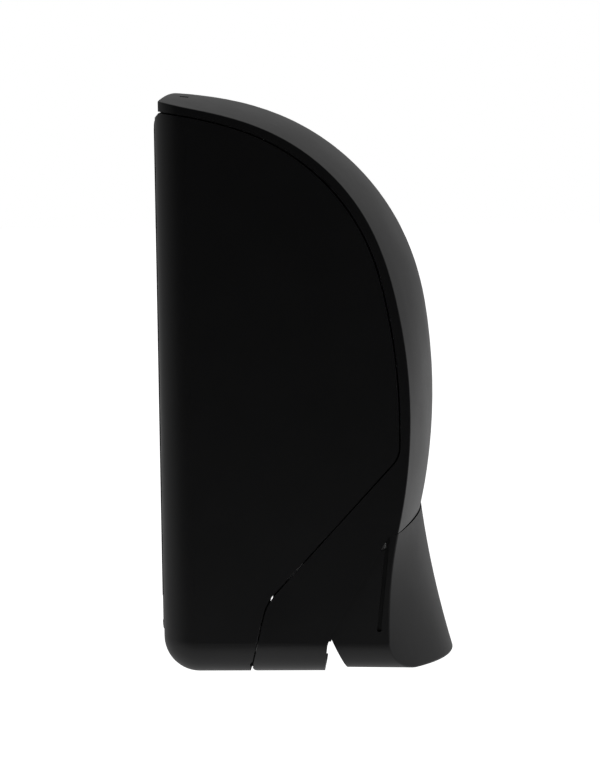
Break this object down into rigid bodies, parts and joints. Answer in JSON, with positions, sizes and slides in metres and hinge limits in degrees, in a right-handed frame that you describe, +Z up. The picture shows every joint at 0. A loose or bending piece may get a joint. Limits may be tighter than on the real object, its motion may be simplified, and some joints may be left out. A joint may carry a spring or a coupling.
{
  "type": "wall mounted soap dispenser",
  "caption": "Wall-mounted push-lever soap dispenser with a crowned hinged cover over a refill bottle and piston pump.",
  "frame": {"origin": "centre of the four wall screw holes, on the wall face of the wall plate", "axes": "+X along the width, +Y into the wall, so the front faces -Y, +Z up"},
  "size_m": [0.125, 0.1374, 0.2718],
  "materials": {
    "cover_plastic": "satin, very fine grain",
    "housing_plastic": "matte, fine grain",
    "lever_plastic": "satin, very fine grain",
    "plate_plastic": "matte",
    "bracket_plastic": "matte",
    "latch_plastic": "satin",
    "bottle_plastic": "translucent, blow moulded",
    "cap_plastic": "semi-gloss",
    "pump_plastic": "semi-gloss",
    "seal_rubber": "matte",
    "screw_steel": "zinc plated",
    "bright_steel": "drawn wire, bright"
  },
  "bodies": {
    "base": {"wall_plate": "plate_plastic", "rear_housing": "housing_plastic", "housing_screws": "screw_steel", "hinge_pins": "bright_steel", "refill_bracket": "bracket_plastic", "bracket_screws": "screw_steel", "refill_bottle": "bottle_plastic", "bottle_cap": "cap_plastic", "neck_gasket": "seal_rubber", "pump_cylinder": "pump_plastic", "inlet_ball": "bright_steel", "ball_cage": "pump_plastic", "latch_guide": "bracket_plastic", "latch_guide_screws": "screw_steel"},
    "cover": {"front_cover": "cover_plastic", "lever_axle": "bright_steel"},
    "lever": {"push_lever": "lever_plastic", "lever_yoke": "bracket_plastic", "yoke_screws": "screw_steel"},
    "pump": {"pump_piston": "pump_plastic", "piston_seal": "seal_rubber", "pump_nozzle": "pump_plastic", "outlet_ball": "bright_steel", "pump_spring": "bright_steel"},
    "latch": {"latch_slider": "latch_plastic", "latch_spring": "bright_steel"}
  },
  "joints": [
    {"name": "cover_hinge", "type": "hinge", "parent": "base", "child": "cover", "pos_m": [0, -0.0463, -0.1368], "axis": [1, 0, 0], "range_deg": [0, 90]},
    {"name": "lever_push", "type": "hinge", "parent": "cover", "child": "lever", "pos_m": [0, -0.1047, -0.078], "axis": [1, 0, 0], "range_deg": [0, 10]},
    {"name": "pump_stroke", "type": "slide", "parent": "base", "child": "pump", "axis": [0, 0, 1], "range_m": [0, 0.0075], "stiffness_N_per_m": 300, "springref_m": -0.01, "deforming": ["pump_spring"]},
    {"name": "latch_rise", "type": "slide", "parent": "base", "child": "latch", "axis": [0, 0, 1], "range_m": [0, 0.003], "stiffness_N_per_m": 200, "springref_m": 0.006, "deforming": ["latch_spring"]}
  ],
  "couplings": [
    {"joint": "pump_stroke", "follows": "lever_push", "m_per_rad": 0.0427}
  ]
}
